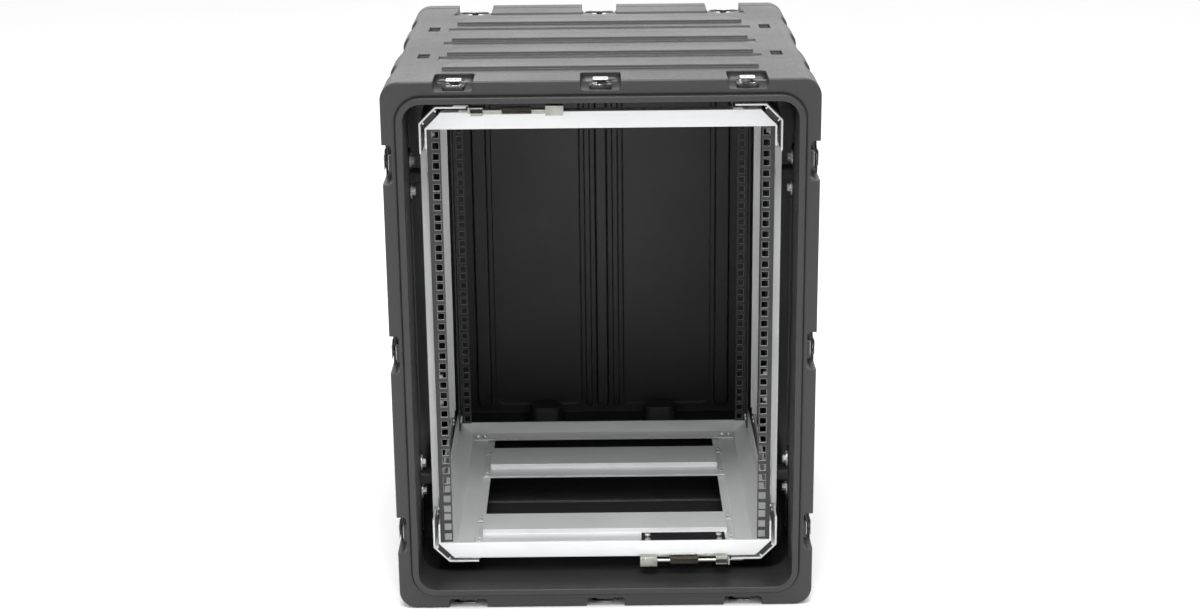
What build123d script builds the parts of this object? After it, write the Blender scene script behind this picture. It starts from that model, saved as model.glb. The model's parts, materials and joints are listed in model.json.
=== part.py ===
from build123d import *
import os
from math import sqrt

os.makedirs("parts", exist_ok=True)

# ---------------------------------------------------------------- case, mm
case_width = 606.0
case_height = 786.0
shell_depth = 612.0
corner_radius = 26.0
tongue_height = 6.0
lid_depth = 100.0
opening_width = 546.0
opening_height = 725.0
opening_radius = 26.0
cavity_width = 562.0
cavity_height = 770.0
rim_length = 70.0
tongue_width = 8.5
groove_width = 2.5
groove_depth = 2.0

# The origin is under the middle of the whole case, on the floor.
front_y = -(shell_depth + lid_depth + tongue_height) / 2 + tongue_height
seam_y = front_y + shell_depth
shell_mid_y = (front_y + seam_y) / 2
case_mid_z = case_height / 2

# ---------------------------------------------------------------- latches
latch_spread_x = 202.0
latch_spread_z = 277.0
pocket_width = 56.0
pocket_length = 58.0
pocket_depth = 13.5
latch_setback = 22.0
latch_base_width = 30.0
latch_base_length = 40.0
latch_base_height = 4.5
latch_plate_size = 22.0
latch_plate_height = 1.2
hook_radius = 27.0
hook_width = 9.0
hook_height = 1.6
wing_span = 44.0
wing_width = 13.0
wing_height = 2.6

# ---------------------------------------------------------------- side bays and handles
bay_depth = 14.0
bay_height = 778.0
bay_radius = 30.0
bay_spans = ((14.0, 113.0), (156.0, 337.0), (381.0, 490.0))
top_slot_x = 255.5
top_slot_width = 17.0
top_slot_spans = ((119.0, 153.0), (340.0, 378.0))
rib_spans = ((31.0, 79.0), (143.0, 194.0), (257.0, 310.0), (399.0, 450.0))
rib_tip_x = 223.0
rib_rear_x = 208.0
rib_rise = 4.0
rib_slope = 3.0
handle_pivot_z = 750.0
handle_plate_width = 86.0
handle_plate_height = 104.0
handle_plate_thickness = 2.0
handle_reach = 66.0
handle_arm_spread = 60.0
handle_bar = 8.0
pin_radius = 2.5

# ---------------------------------------------------------------- rack frame
rack_units = 14
unit_height = 44.45
hole_spacing_x = 465.1
hole_size = 9.5
rack_mid_z = 395.0
rail_y = front_y + 54.0
rack_depth = 505.0
rail_face_inner_x = 225.6
rail_thickness = 2.0
rail_web_depth = 40.0
rail_half_height = 313.0
frame_half_width = 246.8
frame_half_height = 337.5
frame_chamfer = 23.0
sheet = 2.5
frame_leg_z = 285.5
frame_leg_x = 197.0
ledge_x = 185.0
plate_height = 24.0
plate_flange = 33.0
plate_front_y = rail_y - 4.0
plate_rear_y = rail_y + rack_depth + 4.0

# ---------------------------------------------------------------- cradle
cradle_half_width = 255.0
cradle_half_height = 345.0
cradle_chamfer = 23.3
cradle_leg_z = 278.0
cradle_leg_x = 188.0
track_front_y = rail_y - 2.0
track_rear_y = rail_y + rack_depth + 2.0
post_width = 36.0
post_offset = 42.0
post_half_height = 302.0
post_flange = 6.0
mount_z = 232.0
mount_bolt_pitch = 45.0
mount_length = 78.0
mount_width = 34.0
mount_flange = 7.0
mount_boss_height = 20.0
wall_x = cavity_width / 2

# ---------------------------------------------------------------- frame locks
lock_grip_x = (96.0, 138.0)
lock_axis_y = rail_y - 12.0
lock_axis_z = 341.5
stop_plate_thickness = 12.0
# One lock is at the top left and the other, turned half a turn, at the bottom right.
lock_ends = (("top", -1, 1), ("bottom", 1, -1))


def slab(x, y, z, mode=Mode.ADD):
    """Box between two corners, given as a pair for each axis."""
    middle = ((x[0] + x[1]) / 2, (y[0] + y[1]) / 2, (z[0] + z[1]) / 2)
    with Locations(middle):
        return Box(abs(x[1] - x[0]), abs(y[1] - y[0]), abs(z[1] - z[0]), mode=mode)


def rounded_block(width, height, radius, y_start, y_end, mode=Mode.ADD, mid_z=case_mid_z):
    """Rounded rectangle, centred on the case, extruded from one y to another."""
    start = Plane(origin=(0, y_start, mid_z), x_dir=(1, 0, 0), z_dir=(0, -1, 0))
    with BuildSketch(start) as outline:
        RectangleRounded(width, height, radius)
    extrude(outline.sketch, amount=-(y_end - y_start), mode=mode)


def save(part, name):
    part.label = name
    export_step(part, "parts/" + name + ".step")


# ---------------------------------------------------------------- latch places
def latch_sites():
    """Name, origin on the pocket floor, and outward direction of each latch."""
    half_x = case_width / 2 - pocket_depth
    half_z = case_height / 2 - pocket_depth
    sites = []
    for end, y in (("front", front_y + latch_setback), ("rear", seam_y - latch_setback)):
        for side, label in ((-1, "left"), (0, "middle"), (1, "right")):
            x = side * latch_spread_x
            sites.append((end + "_top_" + label, (x, y, case_mid_z + half_z), (0, 0, 1)))
            sites.append((end + "_bottom_" + label, (x, y, case_mid_z - half_z), (0, 0, -1)))
        for step, label in ((1, "upper"), (0, "centre"), (-1, "lower")):
            z = case_mid_z + step * latch_spread_z
            sites.append((end + "_left_" + label, (-half_x, y, z), (-1, 0, 0)))
            sites.append((end + "_right_" + label, (half_x, y, z), (1, 0, 0)))
    return sites


def latch_plane(origin, outward):
    """Plane on a pocket floor: its normal points out, its y axis runs to the rim nearest to it."""
    to_rim = -1 if origin[1] < shell_mid_y else 1
    along = Vector(0, to_rim, 0)
    normal = Vector(*outward)
    return Plane(origin=origin, x_dir=tuple(along.cross(normal)), z_dir=outward)


def make_pocket(length):
    """Cutter for one latch pocket, open to the rim and to the outside."""
    with BuildPart() as cutter:
        with Locations((0, latch_setback - length / 2 + 5, pocket_depth / 2 + 5)):
            Box(pocket_width, length + 10, pocket_depth + 10)
        along_y = cutter.edges().filter_by(Axis.Y).group_by(Axis.Z)[0]
        fillet(along_y, 5)
        uprights = cutter.edges().filter_by(Axis.Z).group_by(Axis.Y)[0]
        fillet(uprights, 9)
    return cutter.part


def make_lid_notch():
    """Cutter that carries a latch pocket on through the lid's rim."""
    with BuildPart() as cutter:
        Box(pocket_width, 40, pocket_depth + 10)
        fillet(cutter.edges().filter_by(Axis.Y).group_by(Axis.Z)[0], 5)
    return cutter.part


pocket_cutter = make_pocket(pocket_length)
notch_cutter = make_lid_notch()

# ---------------------------------------------------------------- case shell
with BuildPart() as case_shell:
    rounded_block(case_width, case_height, corner_radius, front_y, seam_y)
    rim_edges = case_shell.faces().filter_by(Axis.Y).edges()
    fillet(rim_edges, 2.5)
    # raised ribs across the top, highest along their front edge
    for near, far in rib_spans:
        slope = Plane(
            origin=(0, rail_y + far, case_height + rib_rise - rib_slope),
            x_dir=(1, 0, 0),
            z_dir=(0, rib_slope / (far - near), 1),
        )
        with BuildSketch(Plane.XY.offset(case_height - 1)):
            with BuildLine():
                Polyline(
                    (-rib_tip_x, rail_y + near),
                    (rib_tip_x, rail_y + near),
                    (rib_rear_x, rail_y + far),
                    (-rib_rear_x, rail_y + far),
                    close=True,
                )
            make_face()
        extrude(amount=rib_rise + 1, taper=10)
        with Locations(slope.location * Location((0, 0, 5))):
            Box(2 * rib_tip_x + 20, 2 * (far - near) + 10, 10, mode=Mode.SUBTRACT)
    # the rack opening, and the wider hold behind the rims
    rounded_block(opening_width, opening_height, opening_radius, front_y, seam_y, Mode.SUBTRACT)
    hold = (front_y + rim_length, seam_y - rim_length)
    rounded_block(cavity_width, cavity_height, corner_radius, hold[0], hold[1], Mode.SUBTRACT)
    # tongues round the opening at both ends, each inside a shallow groove
    tongue = (opening_width + 2 * tongue_width, opening_height + 2 * tongue_width)
    for y_face, out in ((front_y, -1), (seam_y, 1)):
        face_plane = Plane(origin=(0, y_face, case_mid_z), x_dir=(1, 0, 0), z_dir=(0, out, 0))
        with BuildSketch(face_plane):
            RectangleRounded(tongue[0], tongue[1], opening_radius + tongue_width)
            RectangleRounded(opening_width, opening_height, opening_radius, mode=Mode.SUBTRACT)
        extrude(amount=tongue_height)
        with BuildSketch(face_plane):
            wide = opening_radius + tongue_width + groove_width
            RectangleRounded(tongue[0] + 2 * groove_width, tongue[1] + 2 * groove_width, wide)
            RectangleRounded(
                tongue[0], tongue[1], opening_radius + tongue_width, mode=Mode.SUBTRACT
            )
        extrude(amount=-groove_depth, mode=Mode.SUBTRACT)
    # bays down both sides, their ends rounded
    for start, end in bay_spans:
        for side in (-1, 1):
            with BuildSketch(Plane.YZ.offset(side * (case_width / 2 - bay_depth))):
                with Locations((rail_y + (start + end) / 2, case_mid_z)):
                    RectangleRounded(end - start, bay_height, bay_radius)
            extrude(amount=side * (bay_depth + 5), taper=-14, mode=Mode.SUBTRACT)
    # the uprights between the bays are hollow from inside
    for near, far in ((120.0, 149.0), (344.0, 374.0)):
        for side in (-1, 1):
            reach = (side * (wall_x - 1), side * (wall_x + bay_depth - 1))
            slab(reach, (rail_y + near, rail_y + far), (40, case_height - 40), Mode.SUBTRACT)
    # slots beside the top ribs
    for start, end in top_slot_spans:
        for side in (-1, 1):
            spot = (side * top_slot_x, rail_y + (start + end) / 2)
            with BuildSketch(Plane.XY.offset(case_height)):
                with Locations(spot):
                    RectangleRounded(top_slot_width, end - start, 3)
            extrude(amount=-4, mode=Mode.SUBTRACT)
    # ridges across the floor of the hold
    for near, far in ((118.0, 151.0), (326.0, 362.0)):
        span = (rail_y + near, rail_y + far)
        low = case_mid_z - cavity_height / 2
        slab((-240, 240), span, (low - 1, low + 3))
    # latch pockets round both rims
    for name, origin, outward in latch_sites():
        cutter = latch_plane(origin, outward).location * pocket_cutter
        add(cutter, mode=Mode.SUBTRACT)

save(case_shell.part, "case_shell")

# ---------------------------------------------------------------- rear lid
lid_rim_end = seam_y + 30.0
lid_back = seam_y + lid_depth
lid_gap = 0.4
lid_inset = 24.0
lid_wall = 8.0
lid_opening = (528.0, 707.0)
lid_rib_length = 670.0
# middle, width and depth of each upright rib
lid_ribs = (
    (0.0, 22.0, 12.0),
    (-24.0, 11.0, 5.0),
    (24.0, 11.0, 5.0),
    (-209.0, 26.0, 10.0),
    (209.0, 26.0, 10.0),
)
lid_panel_middle = 113.0
lid_panel_width = 150.0
lid_panel_depth = 2.5
lid_boss_height = 34.0

with BuildPart() as rear_lid:
    rounded_block(case_width, case_height, corner_radius, seam_y + lid_gap, lid_rim_end)
    rim_edges = rear_lid.faces().filter_by(Axis.Y).edges()
    fillet(rim_edges, 2.5)
    # the dome behind the rim
    dome_plane = Plane(origin=(0, lid_rim_end - 1, case_mid_z), x_dir=(-1, 0, 0), z_dir=(0, 1, 0))
    with BuildSketch(dome_plane):
        RectangleRounded(case_width - 2 * lid_inset, case_height - 2 * lid_inset, 30)
    extrude(amount=lid_back - lid_rim_end + 1, taper=6)
    fillet(rear_lid.faces().sort_by(Axis.Y)[-1].edges(), 14)
    # hollow inside
    hollow_plane = Plane(origin=(0, seam_y, case_mid_z), x_dir=(-1, 0, 0), z_dir=(0, 1, 0))
    with BuildSketch(hollow_plane):
        RectangleRounded(lid_opening[0], lid_opening[1], 22)
    extrude(amount=lid_depth - lid_wall, taper=5, mode=Mode.SUBTRACT)
    # channel for the gasket and the shell's tongue
    with BuildSketch(hollow_plane):
        radius = opening_radius + tongue_width + 0.7
        RectangleRounded(tongue[0] + 1.4, tongue[1] + 1.4, radius)
        RectangleRounded(
            opening_width - 1.4, opening_height - 1.4, opening_radius - 0.7, mode=Mode.SUBTRACT
        )
    extrude(amount=tongue_height + 3, mode=Mode.SUBTRACT)
    # upright ribs, formed inwards from the back wall
    for x_mid, width, depth in lid_ribs:
        inside = (x_mid, lid_back - lid_wall + 1, case_mid_z)
        with BuildSketch(Plane(origin=inside, x_dir=(1, 0, 0), z_dir=(0, -1, 0))):
            SlotOverall(lid_rib_length, width, rotation=90)
        extrude(amount=depth + 1, taper=12)
        if width > 15:
            outside = (x_mid, lid_back, case_mid_z)
            with BuildSketch(Plane(origin=outside, x_dir=(1, 0, 0), z_dir=(0, -1, 0))):
                SlotOverall(lid_rib_length - 12, width - 9, rotation=90)
            extrude(amount=depth - 2, mode=Mode.SUBTRACT)
    # two wide shallow panels between the ribs
    for side in (-1, 1):
        bed = (side * lid_panel_middle, lid_back - lid_wall + lid_panel_depth, case_mid_z)
        with BuildSketch(Plane(origin=bed, x_dir=(1, 0, 0), z_dir=(0, -1, 0))):
            RectangleRounded(lid_panel_width, lid_rib_length - 12, 14)
        extrude(amount=lid_panel_depth + 2, taper=-35, mode=Mode.SUBTRACT)
    # two bosses in the bottom of the lid
    for side in (-1, 1):
        low = case_mid_z - lid_opening[1] / 2 + 1
        with BuildSketch(Plane(origin=(side * 100, 0, low), z_dir=(0, 0, 1))):
            with Locations((0, seam_y + 52)):
                RectangleRounded(68, 46, 20)
        extrude(amount=lid_boss_height, taper=10)
    # the latch pockets carry on through the lid's rim
    for name, origin, outward in latch_sites():
        if origin[1] > shell_mid_y:
            plane = latch_plane(origin, outward)
            lift = plane.location * Location((0, latch_setback + 15, pocket_depth / 2 + 5))
            add(lift * notch_cutter, mode=Mode.SUBTRACT)

save(rear_lid.part, "rear_lid")

with BuildPart() as lid_gasket:
    gasket_y = seam_y + tongue_height + 3
    with BuildSketch(Plane(origin=(0, gasket_y, case_mid_z), x_dir=(1, 0, 0), z_dir=(0, -1, 0))):
        RectangleRounded(tongue[0] - 1, tongue[1] - 1, opening_radius + tongue_width - 0.5)
        RectangleRounded(
            opening_width + 1, opening_height + 1, opening_radius + 0.5, mode=Mode.SUBTRACT
        )
    extrude(amount=2.4)

save(lid_gasket.part, "lid_gasket")

with BuildPart() as lid_keepers:
    for name, origin, outward in latch_sites():
        if origin[1] > shell_mid_y:
            plane = latch_plane(origin, outward)
            with BuildSketch(plane):
                with Locations((0, latch_setback + 9)):
                    RectangleRounded(24, 15, 2.5)
            extrude(amount=1.5)
            with BuildSketch(plane.offset(1.5)):
                with Locations((0, latch_setback + 4)):
                    RectangleRounded(16, 3, 1)
            extrude(amount=4.3)

save(lid_keepers.part, "lid_keepers")

# ---------------------------------------------------------------- latches
with BuildPart() as latch_bases:
    for name, origin, outward in latch_sites():
        plane = latch_plane(origin, outward)
        with BuildSketch(plane):
            with Locations((0, -3)):
                RectangleRounded(latch_base_width, latch_base_length, 5)
        extrude(amount=latch_base_height)
        with BuildSketch(plane):
            Circle(4.6)
        extrude(amount=latch_base_height, mode=Mode.SUBTRACT)

save(latch_bases.part, "latch_bases")

with BuildPart() as latch_plates:
    for name, origin, outward in latch_sites():
        plane = latch_plane(origin, outward).offset(latch_base_height)
        with BuildSketch(plane):
            with Locations((0, -1)):
                RectangleRounded(latch_plate_size, latch_plate_size + 2, 2)
            Circle(4.6, mode=Mode.SUBTRACT)
        extrude(amount=latch_plate_height)

save(latch_plates.part, "latch_plates")

# The rear latches are closed over the lid; the front ones stand open at these angles.
open_angle = 150.0
front_rest_angles = {
    "front_top_left": 156.0,
    "front_top_middle": 28.0,
    "front_top_right": 78.0,
}
hook_level = latch_base_height + latch_plate_height + 0.9


def make_latch_turner(origin, outward, angle):
    """Hub, hook and butterfly wings, which turn together about the pocket's normal."""
    base = latch_plane(origin, outward)
    plane = Plane(base.location * Location((0, 0, 0), (0, 0, angle)))
    with BuildPart() as turner:
        with BuildSketch(plane.offset(0.4)):
            Circle(4.3)
        extrude(amount=hook_level)
        with BuildSketch(plane.offset(hook_level)):
            with Locations((0, hook_radius / 2 - 3)):
                SlotOverall(hook_radius + 6, hook_width, rotation=90)
            Circle(7.5)
        extrude(amount=hook_height)
        with BuildSketch(plane.offset(hook_level + hook_height)):
            Circle(5.2)
            with Locations((-wing_span / 4 - 1.5, 0), (wing_span / 4 + 1.5, 0)):
                Ellipse(wing_span / 4 - 1.5, wing_width / 2)
            Rectangle(wing_span / 2, 5)
        extrude(amount=wing_height)
    return turner.part


for name, origin, outward in latch_sites():
    rest = 0.0
    if name.startswith("front"):
        rest = front_rest_angles.get(name, open_angle)
    save(make_latch_turner(origin, outward, rest), "latch_wing_" + name)

# ---------------------------------------------------------------- lift handles
handle_middles = tuple(rail_y + (bay[0] + bay[1]) / 2 for bay in (bay_spans[0], bay_spans[2]))
bay_floor = case_width / 2 - bay_depth
pivot_x = bay_floor + handle_plate_thickness + 5.4


def handle_sites():
    for side, side_name in ((-1, "left"), (1, "right")):
        for y, end_name in zip(handle_middles, ("front", "rear")):
            yield side, y, end_name + "_" + side_name


with BuildPart() as handle_brackets:
    for side, y, name in handle_sites():
        low = handle_pivot_z - handle_plate_height + 12
        with BuildSketch(Plane.YZ.offset(side * bay_floor)):
            with Locations((y, low + handle_plate_height / 2)):
                RectangleRounded(handle_plate_width, handle_plate_height, 6)
        extrude(amount=side * handle_plate_thickness)
        for edge in (-1, 1):
            ear_y = y + edge * (handle_arm_spread / 2 + 9)
            ear_face = Plane(
                origin=(side * pivot_x, ear_y, handle_pivot_z), x_dir=(1, 0, 0), z_dir=(0, -1, 0)
            )
            with BuildSketch(ear_face):
                Circle(5)
                with Locations((-side * 2.6, 0)):
                    Rectangle(6.0, 10)
                Circle(pin_radius, mode=Mode.SUBTRACT)
            extrude(amount=1.5, both=True)

save(handle_brackets.part, "handle_brackets")

with BuildPart() as handle_pins:
    for side, y, name in handle_sites():
        half = handle_arm_spread / 2 + 12.5
        centre = (side * pivot_x, y, handle_pivot_z)
        with BuildSketch(Plane(origin=centre, x_dir=(1, 0, 0), z_dir=(0, -1, 0))):
            Circle(pin_radius)
        extrude(amount=half, both=True)

save(handle_pins.part, "handle_pins")


def make_handle(side, y):
    """Bail handle, hanging from its pin: two eyes, two arms and a thicker grip."""
    with BuildPart() as bail:
        half = handle_arm_spread / 2
        for edge in (-1, 1):
            eye = Plane(
                origin=(side * pivot_x, y + edge * half, handle_pivot_z),
                x_dir=(1, 0, 0),
                z_dir=(0, -1, 0),
            )
            with BuildSketch(eye):
                Circle(4.6)
                with Locations((0, -handle_reach / 2)):
                    Rectangle(6, handle_reach - 8)
            extrude(amount=3.5, both=True)
        grip = Plane(
            origin=(side * pivot_x, y, handle_pivot_z - handle_reach),
            x_dir=(1, 0, 0),
            z_dir=(0, -1, 0),
        )
        with BuildSketch(grip):
            Ellipse(4.9, handle_bar)
        extrude(amount=half + 3.5, both=True)
        with BuildSketch(Plane(origin=(side * pivot_x, y, handle_pivot_z), z_dir=(0, -1, 0))):
            Circle(pin_radius + 0.06)
        extrude(amount=half + 10, both=True, mode=Mode.SUBTRACT)
    return bail.part


for side, y, name in handle_sites():
    save(make_handle(side, y), "handle_" + name)

# ---------------------------------------------------------------- small fasteners on the case
with BuildPart() as case_rivets:
    for name, origin, outward in latch_sites():
        plane = latch_plane(origin, outward).offset(latch_base_height + latch_plate_height)
        reach = latch_plate_size / 2 - 3
        for dx in (-reach, reach):
            with BuildSketch(plane):
                with Locations((dx, -reach - 2)):
                    Circle(1.9)
            extrude(amount=0.45)
    for side, y, name in handle_sites():
        low = handle_pivot_z - handle_plate_height + 12
        with BuildSketch(Plane.YZ.offset(side * (bay_floor + handle_plate_thickness))):
            with Locations((y, low + handle_plate_height / 2 - 2)):
                with GridLocations(handle_plate_width - 11, handle_plate_height - 50, 2, 2):
                    Circle(3.0)
        extrude(amount=side * 1.4)

save(case_rivets.part, "case_rivets")


# ---------------------------------------------------------------- cradle
def bent_corner(half_width, half_height, chamfer_length, leg_z, leg_x):
    """Outline of a sheet bent round one corner of an octagon, in the upper right corner."""
    inner_chamfer = chamfer_length - sheet * (2 - sqrt(2))
    inner_x = half_width - sheet
    inner_z = half_height - sheet
    return [
        (half_width, leg_z),
        (half_width, half_height - chamfer_length),
        (half_width - chamfer_length, half_height),
        (leg_x, half_height),
        (leg_x, inner_z),
        (inner_x - inner_chamfer, inner_z),
        (inner_x, inner_z - inner_chamfer),
        (inner_x, leg_z),
    ]


def corner_plane(right, up, y):
    """Plane facing the rear whose x runs outwards and y away from the rack's middle."""
    turn = right * up
    return Plane(origin=(0, y, rack_mid_z), x_dir=(right, 0, 0), z_dir=(0, -turn, 0))


corners = (
    ("top_left", -1, 1),
    ("top_right", 1, 1),
    ("bottom_left", -1, -1),
    ("bottom_right", 1, -1),
)


def extrude_to(right, up, y_start, y_end, mode=Mode.ADD):
    """Extrude the pending sketch on a corner plane from the front to the rear."""
    extrude(amount=-(y_end - y_start) * right * up, mode=mode)


def make_tracks(right):
    with BuildPart() as tracks:
        for up in (-1, 1):
            with BuildSketch(corner_plane(right, up, track_front_y)):
                with BuildLine():
                    Polyline(
                        *bent_corner(
                            cradle_half_width,
                            cradle_half_height,
                            cradle_chamfer,
                            cradle_leg_z,
                            cradle_leg_x,
                        ),
                        close=True,
                    )
                make_face()
                # two lips that hold the plastic slide strip
                middle = cradle_half_width + cradle_half_height - cradle_chamfer
                inset = 2.5 * sheet
                for slip in (-1, 1):
                    x_mid = cradle_half_width - cradle_chamfer / 2 - inset / sqrt(2) / 1.6
                    z_mid = middle - cradle_half_width + cradle_chamfer / 2 - inset / sqrt(2) / 1.6
                    along = 12.2 * slip / sqrt(2)
                    with Locations(Location((x_mid + along, z_mid - along, 0), (0, 0, 45))):
                        Rectangle(sheet * 1.8, 2.2)
            extrude_to(right, up, track_front_y, track_rear_y)
    return tracks.part


save(make_tracks(-1), "cradle_tracks_left")
save(make_tracks(1), "cradle_tracks_right")

with BuildPart() as slide_strips:
    for name, right, up in corners:
        with BuildSketch(corner_plane(right, up, track_front_y)):
            reach = cradle_half_width + cradle_half_height - cradle_chamfer
            strip_height = 7.2
            depth = (sheet + strip_height / 2) / sqrt(2)
            x_mid = cradle_half_width - cradle_chamfer / 2 - depth
            z_mid = cradle_half_height - cradle_chamfer / 2 - depth
            with Locations(Location((x_mid, z_mid, 0), (0, 0, -45))):
                Rectangle(21.0, strip_height)
        extrude_to(right, up, track_front_y, track_rear_y)

save(slide_strips.part, "slide_strips")

post_setback = post_offset + post_width / 2
post_middles = (rail_y + post_setback, rail_y + rack_depth - post_setback)

with BuildPart() as cradle_posts:
    for right in (-1, 1):
        for y in post_middles:
            with BuildSketch(Plane.YZ.offset(right * cradle_half_width)):
                with Locations((y, rack_mid_z)):
                    RectangleRounded(post_width, 2 * post_half_height, 12)
            extrude(amount=right * sheet)
            for edge in (-1, 1):
                rim = y + edge * (post_width / 2 - 1)
                inward = (right * (cradle_half_width - post_flange), right * cradle_half_width)
                low = rack_mid_z - cradle_leg_z + 4
                high = rack_mid_z + cradle_leg_z - 4
                slab(inward, (rim - 1, rim + 1), (low, high))

save(cradle_posts.part, "cradle_posts")

post_face = cradle_half_width + sheet

with BuildPart() as shock_mounts:
    for right in (-1, 1):
        for y in post_middles:
            for z in (rack_mid_z - mount_z, rack_mid_z + mount_z):
                with BuildSketch(Plane.YZ.offset(right * wall_x)):
                    with Locations((y, z)):
                        RectangleRounded(mount_width, mount_length, 7)
                extrude(amount=-right * mount_flange)
                with BuildSketch(Plane.YZ.offset(right * (wall_x - mount_flange + 0.5))):
                    with Locations((y, z)):
                        RectangleRounded(mount_width - 4, mount_boss_height, 6)
                extrude(amount=-right * (wall_x - mount_flange + 0.5 - post_face), taper=6)

save(shock_mounts.part, "shock_mounts")

washer_radius = 12.0
washer_thickness = 1.6

with BuildPart() as mount_bolts:
    for right in (-1, 1):
        for y in post_middles:
            for z in (rack_mid_z - mount_z, rack_mid_z + mount_z):
                for shift in (-mount_bolt_pitch / 2, mount_bolt_pitch / 2):
                    seat = right * (wall_x - mount_flange)
                    with BuildSketch(Plane.YZ.offset(seat)):
                        with Locations((y, z + shift)):
                            Circle(washer_radius)
                    extrude(amount=-right * washer_thickness)
                    with BuildSketch(Plane.YZ.offset(seat - right * washer_thickness)):
                        with Locations((y, z + shift)):
                            RegularPolygon(6.5, 6)
                    extrude(amount=-right * 5)
                # the cradle bolt, its head inside the post
                with BuildSketch(Plane.YZ.offset(right * cradle_half_width)):
                    with Locations((y, z)):
                        Circle(8)
                extrude(amount=-right * 1.2)
                with BuildSketch(Plane.YZ.offset(right * (cradle_half_width - 1.2))):
                    with Locations((y, z)):
                        RegularPolygon(5.5, 6)
                extrude(amount=-right * 4)
            # button bolts that join the post's ends to the tracks
            for up in (-1, 1):
                with BuildSketch(Plane.YZ.offset(right * (cradle_half_width - sheet))):
                    with Locations((y, rack_mid_z + up * (cradle_leg_z + 12))):
                        with GridLocations(18, 1, 2, 1):
                            Circle(4)
                extrude(amount=-right * 2.2, taper=14)

save(mount_bolts.part, "mount_bolts")

# ---------------------------------------------------------------- rack frame
for name, right, up in corners:
    with BuildPart() as corner_rail:
        with BuildSketch(corner_plane(right, up, plate_front_y + sheet)):
            with BuildLine():
                Polyline(
                    *bent_corner(
                        frame_half_width,
                        frame_half_height,
                        frame_chamfer,
                        frame_leg_z,
                        frame_leg_x,
                    ),
                    close=True,
                )
            make_face()
            # a stepped ledge along the free edge of the flat leg
            with Locations(((ledge_x + frame_leg_x + 2) / 2, frame_half_height + 0.6)):
                Rectangle(frame_leg_x - ledge_x + 2, sheet)
        extrude_to(right, up, plate_front_y + sheet, plate_rear_y - sheet)
    save(corner_rail.part, "corner_rail_" + name)


def make_end_rail(up, front):
    """Bent rail across one end of the rack frame: an upright plate and a flat flange."""
    y_out = plate_front_y if front else plate_rear_y
    inward = 1 if front else -1
    turn = -1 if front else 1
    with BuildPart() as end_rail:
        plane = Plane(origin=(0, y_out, rack_mid_z), x_dir=(-turn, 0, 0), z_dir=(0, turn, 0))
        low = frame_half_height - plate_height
        shoulder = frame_half_height - frame_chamfer
        with BuildSketch(plane):
            with BuildLine():
                Polyline(
                    (-frame_half_width, up * low),
                    (-frame_half_width, up * shoulder),
                    (-frame_half_width + frame_chamfer, up * frame_half_height),
                    (frame_half_width - frame_chamfer, up * frame_half_height),
                    (frame_half_width, up * shoulder),
                    (frame_half_width, up * low),
                    close=True,
                )
            make_face()
        extrude(amount=-sheet)
        top = rack_mid_z + up * (frame_half_height - sheet)
        y_span = (y_out + inward * sheet / 2, y_out + inward * plate_flange)
        slab((-221, 221), y_span, (top - up * sheet, top))
    return end_rail.part


save(make_end_rail(1, True), "front_top_rail")
save(make_end_rail(-1, True), "front_bottom_rail")
save(make_end_rail(1, False), "rear_top_rail")
save(make_end_rail(-1, False), "rear_bottom_rail")


def hole_heights():
    """Centre heights of a rack rail's holes, from the bottom up."""
    bottom = rack_mid_z - rack_units * unit_height / 2
    for unit in range(rack_units):
        for offset_in_unit in (6.35, 22.225, 38.1):
            yield bottom + unit * unit_height + offset_in_unit


def make_rack_rails(y_face, inward):
    with BuildPart() as rails:
        outer = frame_half_width - sheet
        span_z = (rack_mid_z - rail_half_height, rack_mid_z + rail_half_height)
        for right in (-1, 1):
            face_x = (right * rail_face_inner_x, right * outer)
            slab(face_x, (y_face, y_face + inward * rail_thickness), span_z)
            web_x = (right * (outer - rail_thickness), right * outer)
            slab(web_x, (y_face, y_face + inward * rail_web_depth), span_z)
        spots = [
            (right * hole_spacing_x / 2, y_face, z) for z in hole_heights() for right in (-1, 1)
        ]
        with Locations(*spots):
            Box(hole_size, 4 * rail_thickness, hole_size, mode=Mode.SUBTRACT)
    return rails.part


save(make_rack_rails(rail_y, 1), "rack_rails_front")
save(make_rack_rails(rail_y + rack_depth, -1), "rack_rails_rear")

member_spans = ((44.0, 133.0), (307.0, 415.0))
member_rise = 7.0
member_half_length = 186.0
floor_z = rack_mid_z - frame_half_height + 1.9

with BuildPart() as floor_members:
    for near, far in member_spans:
        step_at = near + (far - near) * 0.36
        profile = [
            (near, 0),
            (step_at, 0),
            (step_at, member_rise),
            (far, member_rise),
            (far, 0),
            (far + 16, 0),
            (far + 16, sheet),
            (far + sheet, sheet),
            (far + sheet, member_rise + sheet),
            (step_at - sheet, member_rise + sheet),
            (step_at - sheet, sheet),
            (near, sheet),
        ]
        with BuildSketch(Plane(origin=(0, rail_y, floor_z), x_dir=(0, 1, 0), z_dir=(1, 0, 0))):
            with BuildLine():
                Polyline(*profile, close=True)
            make_face()
        extrude(amount=member_half_length, both=True)
        # tabs at each end that rest on the corner rails' ledges
        for right in (-1, 1):
            reach = (right * (member_half_length - 2), right * (frame_leg_x - 0.6))
            for y_mid in (near + 14, far + 4):
                tab_y = (rail_y + y_mid - 12, rail_y + y_mid + 12)
                slab(reach, tab_y, (floor_z - 0.05, floor_z + sheet - 0.6))

save(floor_members.part, "floor_members")

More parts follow.
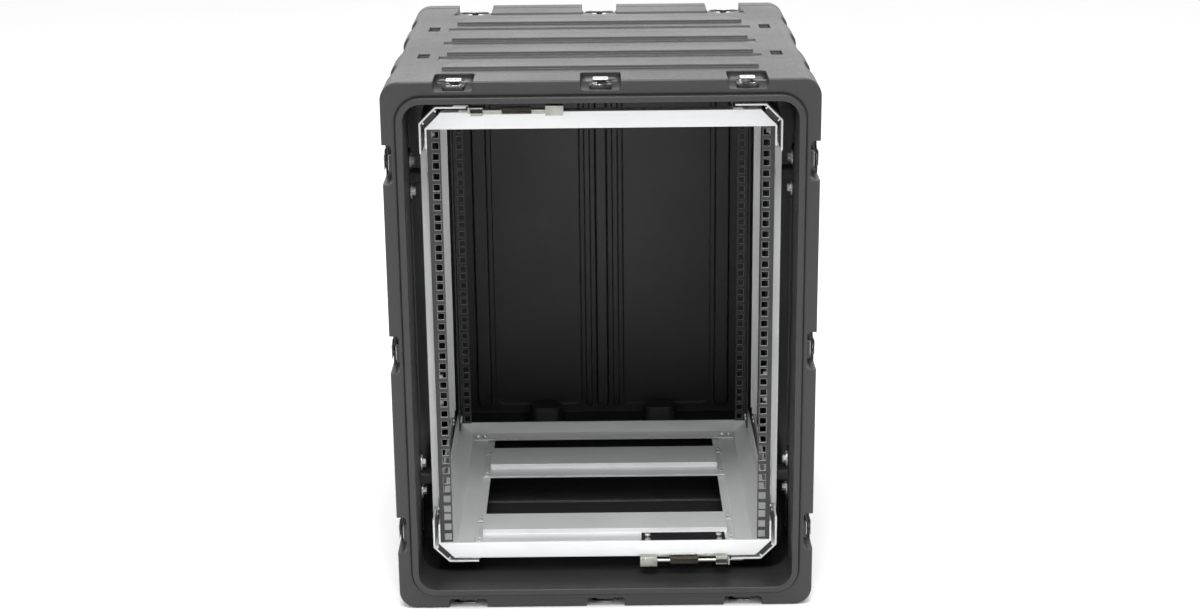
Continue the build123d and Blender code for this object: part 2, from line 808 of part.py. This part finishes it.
with BuildPart() as frame_bolts:
    # dome heads through the end rails' flanges
    for up in (-1, 1):
        level = rack_mid_z + up * (frame_half_height - 2 * sheet)
        head = Plane(origin=(0, 0, level), x_dir=(1, 0, 0), z_dir=(0, 0, -up))
        spots = [
            (right * x, -up * y)
            for right in (-1, 1)
            for x in (202.5, 214.0)
            for y in (plate_front_y + 18, plate_rear_y - 18)
        ]
        with BuildSketch(head):
            with Locations(*spots):
                Circle(5.2)
        extrude(amount=2.6, taper=22)
    # screws on the floor members' tabs
    tab_level = floor_z + sheet - 0.6
    for near, far in member_spans:
        for right in (-1, 1):
            for y_mid in (near + 14, far + 4):
                with BuildSketch(Plane.XY.offset(tab_level)):
                    with Locations((right * 191.0, rail_y + y_mid)):
                        with GridLocations(1, 12, 1, 2):
                            Circle(2.3)
                extrude(amount=1.0, taper=14)
    # bolts through the rack rails' webs into the corner rails
    for right in (-1, 1):
        web_face = right * (frame_half_width - sheet - rail_thickness)
        for up in (-1, 1):
            for y in (rail_y + 24, rail_y + rack_depth - 24):
                with BuildSketch(Plane.YZ.offset(web_face)):
                    with Locations((y, rack_mid_z + up * 298)):
                        with GridLocations(14, 1, 2, 1):
                            Circle(4)
                extrude(amount=-right * 2.2, taper=14)

    # button bolts through the lock stop plates
    for name, right, up in lock_ends:
        level = rack_mid_z + up * (frame_half_height - 2 * sheet - stop_plate_thickness)
        head = Plane(origin=(0, 0, level), x_dir=(1, 0, 0), z_dir=(0, 0, -up))
        with BuildSketch(head):
            spots = [(right * x, -up * (rail_y + y)) for x in (64, 171) for y in (15, 35)]
            with Locations(*spots):
                Circle(4.6)
        extrude(amount=2.8, taper=18)

save(frame_bolts.part, "frame_bolts")

# ---------------------------------------------------------------- frame locks
with BuildPart() as lock_brackets:
    for name, right, up in lock_ends:
        z_axis = rack_mid_z + up * lock_axis_z
        back = (plate_front_y, plate_front_y - 2)
        near_z = z_axis - up * 7.0
        far_z = z_axis + up * 5.0
        slab((right * 52, right * 164), back, (near_z, z_axis - up * 3.0))
        # the large inner block and the small outer lug, both drilled for the rod
        block_y = (plate_front_y, plate_front_y - 14)
        lug_y = (plate_front_y, plate_front_y - 13)
        slab((right * 52, right * 77), block_y, (near_z, far_z + up * 2))
        slab((right * 164, right * 181), lug_y, (near_z, far_z))
        with BuildSketch(Plane(origin=(0, lock_axis_y, z_axis), x_dir=(0, 1, 0), z_dir=(1, 0, 0))):
            Circle(2.7)
        extrude(amount=200, both=True, mode=Mode.SUBTRACT)

save(lock_brackets.part, "lock_brackets")

for name, right, up in lock_ends:
    with BuildPart() as lock_rod:
        z_axis = rack_mid_z + up * lock_axis_z
        start = Plane(
            origin=(right * 60, lock_axis_y, z_axis), x_dir=(0, 1, 0), z_dir=(right, 0, 0)
        )
        with BuildSketch(start):
            Circle(2.5)
        extrude(amount=119)
        with BuildSketch(start.offset(lock_grip_x[0] - 60)):
            Circle(5.4)
        extrude(amount=lock_grip_x[1] - lock_grip_x[0])
        chamfer(lock_rod.edges().filter_by(GeomType.CIRCLE).filter_by(lambda e: e.radius > 5), 0.8)
    save(lock_rod.part, "lock_rod_" + name)

with BuildPart() as lock_keepers:
    for name, right, up in lock_ends:
        z_axis = rack_mid_z + up * lock_axis_z
        # a drilled tab in front of the track, on a strap laid over the track's flat leg
        strap_low = rack_mid_z + up * cradle_half_height
        strap = (strap_low, strap_low + up * 2)
        tab_x = (right * 181.9, right * (ledge_x - 0.35))
        tab_y = (lock_axis_y - 6, track_front_y + 14)
        slab(tab_x, tab_y, (z_axis - up * 3.6, strap[1]))
        slab((tab_x[0], right * 206), (track_front_y, track_front_y + 14), strap)
        with BuildSketch(Plane(origin=(0, lock_axis_y, z_axis), x_dir=(0, 1, 0), z_dir=(1, 0, 0))):
            Circle(2.9)
        extrude(amount=200, both=True, mode=Mode.SUBTRACT)

save(lock_keepers.part, "lock_keepers")

with BuildPart() as stop_plates:
    for name, right, up in lock_ends:
        level = rack_mid_z + up * (frame_half_height - 2 * sheet)
        thickness = (level - up * stop_plate_thickness, level)
        slab((right * 55, right * 180), (rail_y + 6, rail_y + 44), thickness)

save(stop_plates.part, "stop_plates")
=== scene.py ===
import json
import math

import bmesh
import bpy
from mathutils import Matrix, Vector


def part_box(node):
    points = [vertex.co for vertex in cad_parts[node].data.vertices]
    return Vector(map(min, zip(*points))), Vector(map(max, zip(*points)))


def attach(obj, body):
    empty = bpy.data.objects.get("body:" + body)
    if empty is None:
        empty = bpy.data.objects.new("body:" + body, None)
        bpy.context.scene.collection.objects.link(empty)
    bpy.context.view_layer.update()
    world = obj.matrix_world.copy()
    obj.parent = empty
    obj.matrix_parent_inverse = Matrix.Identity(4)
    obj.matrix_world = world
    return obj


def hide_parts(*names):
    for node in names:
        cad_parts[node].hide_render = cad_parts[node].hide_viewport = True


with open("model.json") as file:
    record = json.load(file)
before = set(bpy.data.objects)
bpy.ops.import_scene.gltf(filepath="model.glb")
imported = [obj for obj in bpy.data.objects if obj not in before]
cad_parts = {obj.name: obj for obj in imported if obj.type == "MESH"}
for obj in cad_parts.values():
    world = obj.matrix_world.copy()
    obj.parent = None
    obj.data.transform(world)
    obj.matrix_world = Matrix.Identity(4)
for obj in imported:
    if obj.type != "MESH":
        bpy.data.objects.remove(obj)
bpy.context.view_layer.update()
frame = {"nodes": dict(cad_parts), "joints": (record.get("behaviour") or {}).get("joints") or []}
nodes = frame["nodes"]

# ---------------------------------------------------------------- places, from the frame
rails_low, rails_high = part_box("rack_rails_front")
rack_mid_z = (rails_low.z + rails_high.z) / 2
unit_height = 0.04445
rack_units = 14
rack_bottom = rack_mid_z - rack_units / 2 * unit_height
grip_inner_radius = 0.0045
grip_outer_radius = 0.0058
hole_column_x = 0.46510 / 2
hole_half = 0.00475
hole_heights = (0.00635, 0.022225, 0.0381)


# ---------------------------------------------------------------- materials
class Look:
    """A material and its node tree, with short ways to add nodes to it."""

    def __init__(self, name, metallic=0.0, roughness=0.5):
        self.material = bpy.data.materials.new(name)
        self.material.use_nodes = True
        self.tree = self.material.node_tree
        self.shader = self.tree.nodes["Principled BSDF"]
        self.shader.inputs["Metallic"].default_value = metallic
        self.shader.inputs["Roughness"].default_value = roughness
        self.place = self.add("ShaderNodeTexCoord").outputs["Object"]

    def add(self, kind, **settings):
        node = self.tree.nodes.new(kind)
        for key, value in settings.items():
            setattr(node, key, value)
        return node

    def feed(self, source, target):
        """Link a socket, or set a plain value."""
        if isinstance(source, bpy.types.NodeSocket):
            self.tree.links.new(source, target)
        else:
            target.default_value = source

    def maths(self, operation, first, second=0.0, clamp=False):
        node = self.add("ShaderNodeMath", operation=operation, use_clamp=clamp)
        self.feed(first, node.inputs[0])
        self.feed(second, node.inputs[1])
        return node.outputs[0]

    def noise(self, scale, detail=2.0, stretch=(1, 1, 1)):
        mapping = self.add("ShaderNodeMapping")
        mapping.inputs["Scale"].default_value = stretch
        self.feed(self.place, mapping.inputs["Vector"])
        node = self.add("ShaderNodeTexNoise")
        self.feed(mapping.outputs["Vector"], node.inputs["Vector"])
        node.inputs["Scale"].default_value = scale
        node.inputs["Detail"].default_value = detail
        return node.outputs["Fac"]

    def spread(self, value, low, high, start=0.3, end=0.7):
        """The value, from start to end, stretched to run from low to high."""
        node = self.add("ShaderNodeMapRange")
        self.feed(value, node.inputs["Value"])
        node.inputs["From Min"].default_value = start
        node.inputs["From Max"].default_value = end
        node.inputs["To Min"].default_value = low
        node.inputs["To Max"].default_value = high
        return node.outputs["Result"]

    def blend(self, factor, first, second):
        node = self.add("ShaderNodeMix", data_type="RGBA")
        self.feed(factor, node.inputs["Factor"])
        for colour, socket in ((first, node.inputs[6]), (second, node.inputs[7])):
            if not isinstance(colour, bpy.types.NodeSocket):
                colour = (*colour, 1.0)
            self.feed(colour, socket)
        return node.outputs[2]

    def soft_edge(self, radius):
        """A normal rounded over sharp edges, and a mask that is 1 along them."""
        bevel = self.add("ShaderNodeBevel", samples=4)
        bevel.inputs["Radius"].default_value = radius
        dot = self.add("ShaderNodeVectorMath", operation="DOT_PRODUCT")
        self.feed(bevel.outputs["Normal"], dot.inputs[0])
        true_normal = self.add("ShaderNodeNewGeometry").outputs["Normal"]
        self.feed(true_normal, dot.inputs[1])
        mask = self.spread(dot.outputs["Value"], 1.0, 0.0, 0.75, 0.99)
        return bevel.outputs["Normal"], mask

    def bump(self, height, distance, normal=None, strength=1.0):
        node = self.add("ShaderNodeBump")
        node.inputs["Distance"].default_value = distance
        node.inputs["Strength"].default_value = strength
        self.feed(height, node.inputs["Height"])
        if normal is not None:
            self.feed(normal, node.inputs["Normal"])
        return node.outputs["Normal"]

    def finish(self, colour, roughness=None, normal=None):
        self.feed(colour, self.shader.inputs["Base Color"])
        if roughness is not None:
            self.feed(roughness, self.shader.inputs["Roughness"])
        if normal is not None:
            self.feed(normal, self.shader.inputs["Normal"])
        return self.material


def moulded_plastic():
    """Grey rotation-moulded plastic: fine grain, slow tone changes, edges paled partly by scuffing
    and partly by a painted highlight.
    """
    look = Look("moulded_plastic")
    rounded, edges = look.soft_edge(0.003)
    slow = look.noise(4.0, 4.0)
    speckle = look.noise(260.0, 3.0)
    base = look.blend(look.spread(slow, 0.0, 1.0), (0.016, 0.0155, 0.0155), (0.022, 0.0215, 0.0215))
    base = look.blend(look.spread(speckle, 0.0, 0.35), base, (0.034, 0.033, 0.033))
    # edges paled towards 0.10: partly scuffing, partly painted highlight
    edge_wear_and_highlight = look.maths("MULTIPLY", edges, look.spread(look.noise(38.0, 5.0), 0.05, 0.5))
    colour = look.blend(edge_wear_and_highlight, base, (0.10, 0.10, 0.10))
    grain = look.bump(look.noise(700.0, 2.0), 0.0004, rounded, 0.5)
    ripple = look.bump(look.noise(14.0, 2.0), 0.0016, grain, 0.35)
    rough = look.maths("ADD", look.spread(slow, 0.34, 0.44), look.spread(speckle, 0.0, 0.08))
    return look.finish(colour, rough, ripple)


def brushed_aluminium(name, stretch):
    """Satin mill-finish aluminium, its draw lines running along one axis, with a painted highlight
    along its edges.
    """
    look = Look(name, metallic=0.35)
    rounded, edges = look.soft_edge(0.0009)
    lines = look.noise(900.0, 3.0, stretch)
    cloud = look.noise(7.0, 4.0)
    colour = look.blend(look.spread(cloud, 0.0, 1.0), (0.76, 0.765, 0.77), (0.85, 0.855, 0.86))
    colour = look.blend(look.spread(lines, 0.0, 0.25), colour, (0.70, 0.71, 0.72))
    # painted highlight: sharp edges whitened towards 0.97
    colour = look.blend(edges, colour, (0.97, 0.97, 0.97))
    rough = look.maths("ADD", look.spread(lines, 0.30, 0.46), look.spread(cloud, 0.0, 0.08))
    return look.finish(colour, rough, look.bump(lines, 0.00015, rounded, 0.3))


def zinc(name, tint, roughness=0.3):
    """Plated steel with faint blotches and a painted highlight along its edges."""
    look = Look(name, metallic=0.7)
    rounded, edges = look.soft_edge(0.0006)
    cloud = look.noise(120.0, 4.0)
    darker = tuple(0.78 * part for part in tint)
    colour = look.blend(look.spread(cloud, 0.0, 1.0), darker, tint)
    # painted highlight: sharp edges whitened towards 0.95
    colour = look.blend(edges, colour, (0.95, 0.95, 0.93))
    rough = look.spread(look.noise(300.0, 3.0), roughness - 0.08, roughness + 0.12)
    return look.finish(colour, rough, look.bump(look.noise(900.0), 0.0001, rounded, 0.4))


def black_enamel(name, roughness=0.36):
    """Black paint on metal, paler along its edges where worn and with a painted highlight."""
    look = Look(name)
    rounded, edges = look.soft_edge(0.0008)
    # edges lightened towards 0.20: partly worn paint, partly painted highlight
    enamel_wear_and_highlight = look.maths("MULTIPLY", edges, look.spread(look.noise(160.0, 4.0), 0.0, 0.6))
    cloud = look.spread(look.noise(30.0, 3.0), 0.0, 1.0)
    colour = look.blend(cloud, (0.011, 0.011, 0.012), (0.020, 0.020, 0.021))
    colour = look.blend(enamel_wear_and_highlight, colour, (0.20, 0.20, 0.20))
    rough = look.spread(look.noise(90.0, 3.0), roughness - 0.06, roughness + 0.10)
    return look.finish(colour, rough, look.bump(look.noise(800.0, 2.0), 0.0002, rounded, 0.5))


def rack_rail():
    """Black rail with a pale ring round each square hole, partly bare metal and partly painted
    highlight, and a painted highlight along its edges.
    """
    look = Look("rack_rail")
    rounded, edges = look.soft_edge(0.0008)
    axes = look.add("ShaderNodeSeparateXYZ")
    look.feed(look.place, axes.inputs[0])
    across = look.maths("SUBTRACT", look.maths("ABSOLUTE", axes.outputs["X"]), hole_column_x)
    across = look.maths("ABSOLUTE", across)
    above_bottom = look.maths("SUBTRACT", axes.outputs["Z"], rack_bottom)
    height = look.maths("MODULO", above_bottom, unit_height)
    nearest = 1.0
    for centre in hole_heights:
        distance = look.maths("ABSOLUTE", look.maths("SUBTRACT", height, centre))
        nearest = look.maths("MINIMUM", nearest, distance)
    from_hole = look.maths("MAXIMUM", nearest, across)
    # pale ring round each hole: partly bare metal, partly painted highlight
    ring = look.spread(from_hole, 1.0, 0.0, hole_half + 0.0001, hole_half + 0.0005)
    cloud = look.spread(look.noise(40.0, 3.0), 0.0, 1.0)
    colour = look.blend(cloud, (0.014, 0.014, 0.015), (0.026, 0.026, 0.027))
    # painted highlight: sharp edges lightened at half strength, joined with the hole rings
    hole_ring_and_edge_highlight = look.maths("MAXIMUM", ring, look.maths("MULTIPLY", edges, 0.5))
    colour = look.blend(hole_ring_and_edge_highlight, colour, (0.40, 0.40, 0.40))
    look.feed(look.maths("MULTIPLY", ring, 0.3), look.shader.inputs["Metallic"])
    rough = look.spread(look.noise(200.0, 3.0), 0.34, 0.50)
    return look.finish(colour, rough, look.bump(look.noise(700.0), 0.0002, rounded, 0.4))


def elastomer(name):
    """Matt black rubber with a fine grain, a little dust and a painted highlight along its edges."""
    look = Look(name)
    rounded, edges = look.soft_edge(0.0012)
    dust = look.spread(look.noise(60.0, 5.0), 0.0, 0.5)
    colour = look.blend(dust, (0.012, 0.012, 0.012), (0.035, 0.034, 0.033))
    # painted highlight: sharp edges lightened towards 0.06
    colour = look.blend(look.maths("MULTIPLY", edges, 0.4), colour, (0.06, 0.06, 0.06))
    rough = look.spread(look.noise(150.0, 2.0), 0.55, 0.75)
    return look.finish(colour, rough, look.bump(look.noise(1100.0, 2.0), 0.0003, rounded, 0.6))


def slide_plastic():
    """Black slippery plastic strip, faintly lined by its making and marked by sliding."""
    look = Look("slide_plastic")
    marks = look.noise(300.0, 4.0, (1, 0.03, 1))
    colour = look.blend(look.spread(marks, 0.0, 1.0), (0.010, 0.010, 0.010), (0.030, 0.030, 0.030))
    return look.finish(colour, look.spread(marks, 0.3, 0.5), look.bump(marks, 0.0002))


def lock_metal():
    """Plated lock parts with a painted highlight along their edges; the rod's grip is knurled in
    diamonds.
    """
    look = Look("lock_metal", metallic=1.0)
    rounded, edges = look.soft_edge(0.0006)
    axis_low, axis_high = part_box("lock_rod_top")
    axis_y = (axis_low.y + axis_high.y) / 2
    axis_z = (axis_low.z + axis_high.z) / 2 - rack_mid_z
    axes = look.add("ShaderNodeSeparateXYZ")
    look.feed(look.place, axes.inputs[0])
    rise = look.maths("ABSOLUTE", look.maths("SUBTRACT", axes.outputs["Z"], rack_mid_z))
    rise = look.maths("SUBTRACT", rise, axis_z)
    depth = look.maths("SUBTRACT", axes.outputs["Y"], axis_y)
    angle = look.maths("MULTIPLY", look.maths("ARCTAN2", rise, depth), 18.0)
    along = look.maths("MULTIPLY", axes.outputs["X"], 3300.0)
    first = look.maths("SINE", look.maths("ADD", angle, along))
    second = look.maths("SINE", look.maths("SUBTRACT", angle, along))
    diamonds = look.maths("MULTIPLY", first, second)
    rise_squared = look.maths("MULTIPLY", rise, rise)
    depth_squared = look.maths("MULTIPLY", depth, depth)
    reach = look.maths("SQRT", look.maths("ADD", rise_squared, depth_squared))
    outside_rod = look.maths("GREATER_THAN", reach, grip_inner_radius)
    inside_collar = look.maths("LESS_THAN", reach, grip_outer_radius)
    on_grip = look.maths("MULTIPLY", outside_rod, inside_collar)
    knurl = look.maths("MULTIPLY", diamonds, on_grip)
    cloud = look.noise(90.0, 4.0)
    colour = look.blend(look.spread(cloud, 0.0, 1.0), (0.30, 0.31, 0.28), (0.44, 0.45, 0.41))
    colour = look.blend(on_grip, colour, (0.115, 0.100, 0.085))
    # painted highlight: sharp edges lightened towards 0.78
    colour = look.blend(edges, colour, (0.78, 0.79, 0.75))
    rough = look.spread(look.noise(260.0, 3.0), 0.26, 0.44)
    return look.finish(colour, rough, look.bump(knurl, 0.0006, rounded, 0.8))


along_x = (0.02, 1, 1)
along_y = (1, 0.02, 1)
along_z = (1, 1, 0.02)
materials = {
    "moulded": moulded_plastic(),
    "aluminium_x": brushed_aluminium("aluminium_x", along_x),
    "aluminium_y": brushed_aluminium("aluminium_y", along_y),
    "aluminium_z": brushed_aluminium("aluminium_z", along_z),
    "zinc": zinc("zinc", (0.86, 0.86, 0.84)),
    "latch_steel": zinc("latch_steel", (0.56, 0.56, 0.55), 0.26),
    "handle_steel": zinc("handle_steel", (0.66, 0.66, 0.65), 0.34),
    "latch_black": black_enamel("latch_black"),
    "stop_black": black_enamel("stop_black", 0.42),
    "rack_rail": rack_rail(),
    "rubber": elastomer("rubber"),
    "handle_rubber": elastomer("handle_rubber"),
    "slide_plastic": slide_plastic(),
    "lock_metal": lock_metal(),
}
finish_of = {
    "case_shell": "moulded",
    "rear_lid": "moulded",
    "lid_gasket": "rubber",
    "shock_mounts": "rubber",
    "lid_keepers": "latch_steel",
    "latch_plates": "latch_steel",
    "latch_bases": "latch_black",
    "latch_wing_": "latch_black",
    # painted shade: handle brackets get black enamel so the handle bays read dark
    "handle_brackets": "latch_black",
    "handle_pins": "handle_steel",
    "case_rivets": "zinc",
    "handle_": "handle_rubber",
    "cradle_tracks": "aluminium_y",
    "corner_rail_": "aluminium_y",
    "cradle_posts": "aluminium_z",
    "front_": "aluminium_x",
    "rear_": "aluminium_x",
    "floor_members": "aluminium_x",
    "rack_rails": "rack_rail",
    "slide_strips": "slide_plastic",
    "mount_bolts": "zinc",
    "frame_bolts": "zinc",
    "lock_": "lock_metal",
    "stop_plates": "stop_black",
}


def dress(piece, finish):
    """Give a mesh its one material."""
    piece.data.materials.clear()
    piece.data.materials.append(materials[finish])


for node_name, node in nodes.items():
    start = next(key for key in finish_of if node_name.startswith(key))
    dress(node, finish_of[start])

# ---------------------------------------------------------------- shapes
def make_piece(name, form, finishes, body):
    """Turn a form into a piece that rides on a body, with one material for each finish."""
    mesh = bpy.data.meshes.new(name)
    form.to_mesh(mesh)
    form.free()
    for finish in finishes:
        mesh.materials.append(materials[finish])
    piece = bpy.data.objects.new(name, mesh)
    bpy.context.scene.collection.objects.link(piece)
    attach(piece, body)
    return piece


def round_over(piece, width, segments=2):
    """Real bevels on a piece's sharp edges, with smooth shading between them."""
    bevel = piece.modifiers.new("edges", "BEVEL")
    bevel.width = width
    bevel.segments = segments
    bevel.limit_method = "ANGLE"
    bevel.harden_normals = True
    for face in piece.data.polygons:
        face.use_smooth = True


def add_prism(form, outline, low, high, place, finish=0, crown=0.0):
    """Prism from an outline, in the place's frame; a crown lifts the middle of its top."""
    rings = []
    for level in (low, high):
        rings.append([form.verts.new(place @ Vector((x, y, level))) for x, y in outline])
    faces = [form.faces.new(list(reversed(rings[0])))]
    count = len(outline)
    for i in range(count):
        j = (i + 1) % count
        faces.append(form.faces.new((rings[0][i], rings[0][j], rings[1][j], rings[1][i])))
    if crown:
        middle_x = sum(x for x, y in outline) / count
        middle_y = sum(y for x, y in outline) / count
        peak = form.verts.new(place @ Vector((middle_x, middle_y, high + crown)))
        for i in range(count):
            faces.append(form.faces.new((rings[1][i], rings[1][(i + 1) % count], peak)))
    else:
        faces.append(form.faces.new(rings[1]))
    for face in faces:
        face.material_index = finish


def rounded_rectangle(width, height, radius, middle=(0.0, 0.0), steps=5):
    """Points round a rectangle with arcs for corners, going anticlockwise."""
    points = []
    for corner, (sx, sy) in enumerate(((1, 1), (-1, 1), (-1, -1), (1, -1))):
        centre_x = middle[0] + sx * (width / 2 - radius)
        centre_y = middle[1] + sy * (height / 2 - radius)
        for step in range(steps + 1):
            angle = math.pi / 2 * (corner + step / steps)
            points.append((centre_x + radius * math.cos(angle), centre_y + radius * math.sin(angle)))
    return points


def circle(radius, middle=(0.0, 0.0), count=24):
    """Points round a circle."""
    turns = [2 * math.pi * i / count for i in range(count)]
    return [(middle[0] + radius * math.cos(t), middle[1] + radius * math.sin(t)) for t in turns]


# ---------------------------------------------------------------- latches
# heights are above the floor of the latch's pocket
hub_radius = 0.0043
hub_low = 0.0004
strip_width = 0.009
strip_low = 0.0066
strip_high = 0.0079
strip_overlap = 0.006
collar_radius = 0.0072
collar_high = 0.0090
hook_reach = 0.027
wing_low = 0.0085
wing_high = 0.0100
wing_dish_high = 0.0104
wing_root = 0.0046
wing_reach = 0.0225
wing_half_width = 0.0068
wing_steps = 14
cap_width = 0.021
cap_length = 0.019
cap_low = 0.0111
cap_high = 0.0121
cap_slot_x = 0.0054


def latch_frame(joint):
    """Matrix of a latch's own frame: x across, y towards the rim, z outwards."""
    outward = Vector(joint["axis"])
    place = Vector(joint["pos_m"])
    to_rim = Vector((0, -1 if place.y < 0 else 1, 0))
    across = to_rim.cross(outward)
    turn = Matrix((across, to_rim, outward)).transposed().to_4x4()
    return Matrix.Translation(place) @ turn


def wing_outline(side):
    """Points round one butterfly wing, which is narrow at both ends and broad between."""
    points = []
    for step in range(wing_steps + 1):
        t = step / wing_steps
        width = wing_half_width * math.sin(math.pi * (0.16 + 0.74 * t)) ** 0.8
        points.append((side * (wing_root + (wing_reach - wing_root) * t), width))
    outline = points + [(x, -y) for x, y in reversed(points)]
    return outline if side < 0 else list(reversed(outline))


def build_wings(site, place):
    """Turning piece of one latch: hub, hook strip and two dished wings."""
    form = bmesh.new()
    add_prism(form, circle(hub_radius), hub_low, strip_low, place)
    strip_middle = (0.0, (hook_reach - strip_overlap) / 2)
    strip = rounded_rectangle(strip_width, hook_reach + strip_overlap, 0.0042, strip_middle)
    add_prism(form, strip, strip_low, strip_high, place)
    add_prism(form, circle(collar_radius), strip_high, collar_high, place)
    for side in (-1, 1):
        outline = wing_outline(side)
        add_prism(form, outline, wing_low, wing_high, place)
        middle = side * (wing_root + wing_reach) / 2
        inner = [(middle + (x - middle) * 0.72, y * 0.62) for x, y in outline]
        add_prism(form, inner, wing_high, wing_dish_high, place, crown=0.0003)
    wings = make_piece("turned_" + site, form, ["latch_black"], "wing_" + site)
    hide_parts("latch_wing_" + site)
    round_over(wings, 0.0004)


def crescent(inner, outer, middle, steps=10):
    """Points round an arch, its back turned away from the rim."""
    sweep = [math.radians(200 + 140 * step / steps) for step in range(steps + 1)]
    near = [(middle[0] + inner * math.cos(a), middle[1] + inner * math.sin(a)) for a in sweep]
    far = [(middle[0] + outer * math.cos(a), middle[1] + outer * math.sin(a)) for a in sweep]
    return far + list(reversed(near))


def build_cap(site, place):
    """Fixed square plate over the hub, with two arched slots drawn as dark sheets of painted shade,
    two rivets and a dark edge.
    """
    form = bmesh.new()
    plate = rounded_rectangle(cap_width, cap_length, 0.0022)
    add_prism(form, plate, cap_low, cap_high, place)
    dark_edge = rounded_rectangle(0.018, 0.0026, 0.0008, (0, -0.0110))
    add_prism(form, dark_edge, cap_low, cap_high, place, finish=1)
    for side in (-1, 1):
        # painted shade: dark raised sheets stand in for the shaded insides of the arched slots
        arch = crescent(0.0021, 0.0045, (side * cap_slot_x, 0.0010))
        add_prism(form, arch, cap_high, cap_high + 0.0002, place, finish=1)
        rivet = circle(0.0017, (side * cap_slot_x, 0.0014), 16)
        add_prism(form, rivet, cap_high, cap_high + 0.0004, place, crown=0.0003)
    cap = make_piece("latch_cap_" + site, form, ["latch_steel", "latch_black"], "case")
    round_over(cap, 0.00025)


for joint in frame["joints"]:
    if joint["name"].endswith("_latch"):
        latch_site = joint["name"][: -len("_latch")]
        latch_place = latch_frame(joint)
        closed_turn = 0.0
        if latch_site.startswith("front"):
            closed_turn = -math.radians(joint["range_deg"][0])
        build_wings(latch_site, latch_place @ Matrix.Rotation(closed_turn, 4, "Z"))
        build_cap(latch_site, latch_place)

# ---------------------------------------------------------------- floor, light and camera
floor_mesh = bpy.data.meshes.new("floor")
floor_half = 20
floor_corners = [(floor_half * x, floor_half * y, 0) for x, y in ((-1, -1), (1, -1), (1, 1), (-1, 1))]
floor_mesh.from_pydata(floor_corners, [], [(0, 1, 2, 3)])
floor = bpy.data.objects.new("floor", floor_mesh)
floor_drop = 0.0005
floor.location.z = -floor_drop
bpy.context.scene.collection.objects.link(floor)
floor_look = Look("floor", roughness=0.6)
tone = floor_look.spread(floor_look.noise(0.8), 0.0, 1.0)
pale = floor_look.blend(tone, (0.90, 0.90, 0.90), (0.92, 0.92, 0.92))
floor_mesh.materials.append(floor_look.finish(pale))

world = bpy.data.worlds.new("studio")
world.use_nodes = True
world.node_tree.nodes["Background"].inputs["Color"].default_value = (1.0, 1.0, 1.0, 1.0)
world.node_tree.nodes["Background"].inputs["Strength"].default_value = 1.0
bpy.context.scene.world = world
bpy.context.scene.view_settings.view_transform = "Standard"


def softbox(name, place, target, size, power):
    """Rectangular lamp at a place, facing a target; its power is in watts."""
    lamp = bpy.data.lights.new(name, "AREA")
    lamp.shape = "RECTANGLE"
    lamp.size = size[0]
    lamp.size_y = size[1]
    lamp.energy = power
    box = bpy.data.objects.new(name, lamp)
    box.location = place
    box.rotation_euler = (Vector(target) - Vector(place)).to_track_quat("-Z", "Y").to_euler()
    bpy.context.scene.collection.objects.link(box)


softbox("top_light", (0.0, -0.2, 3.4), (0, 0, 0.6), (2.4, 2.0), 60)
softbox("back_light", (0.0, 3.6, 1.7), (0, 0, 0.7), (3.2, 1.0), 14)
softbox("left_light", (-2.4, -3.2, 2.4), (0, 0, 0.3), (1.2, 1.6), 8)
softbox("right_light", (2.4, -3.2, 2.4), (0, 0, 0.3), (1.2, 1.6), 8)

softbox("front_light", (0.0, -1.8, 3.1), (0, 0, 0.1), (1.0, 0.7), 60)

focal_pixels = 2129.0
picture_width = 1200.0
camera_place = Vector((-0.0047, -3.2177, 1.3555))
pitch = 0.3017
yaw = -0.0003
roll = 0.0104

camera_data = bpy.data.cameras.new("camera")
camera_data.sensor_width = 36.0
camera_data.lens = focal_pixels / picture_width * 36.0
camera = bpy.data.objects.new("camera", camera_data)
turn = (
    Matrix.Rotation(yaw, 4, "Z")
    @ Matrix.Rotation(math.pi / 2 - pitch, 4, "X")
    @ Matrix.Rotation(-roll, 4, "Z")
)
camera.matrix_world = Matrix.Translation(camera_place) @ turn
bpy.context.scene.collection.objects.link(camera)
bpy.context.scene.camera = camera

bpy.context.view_layer.update()
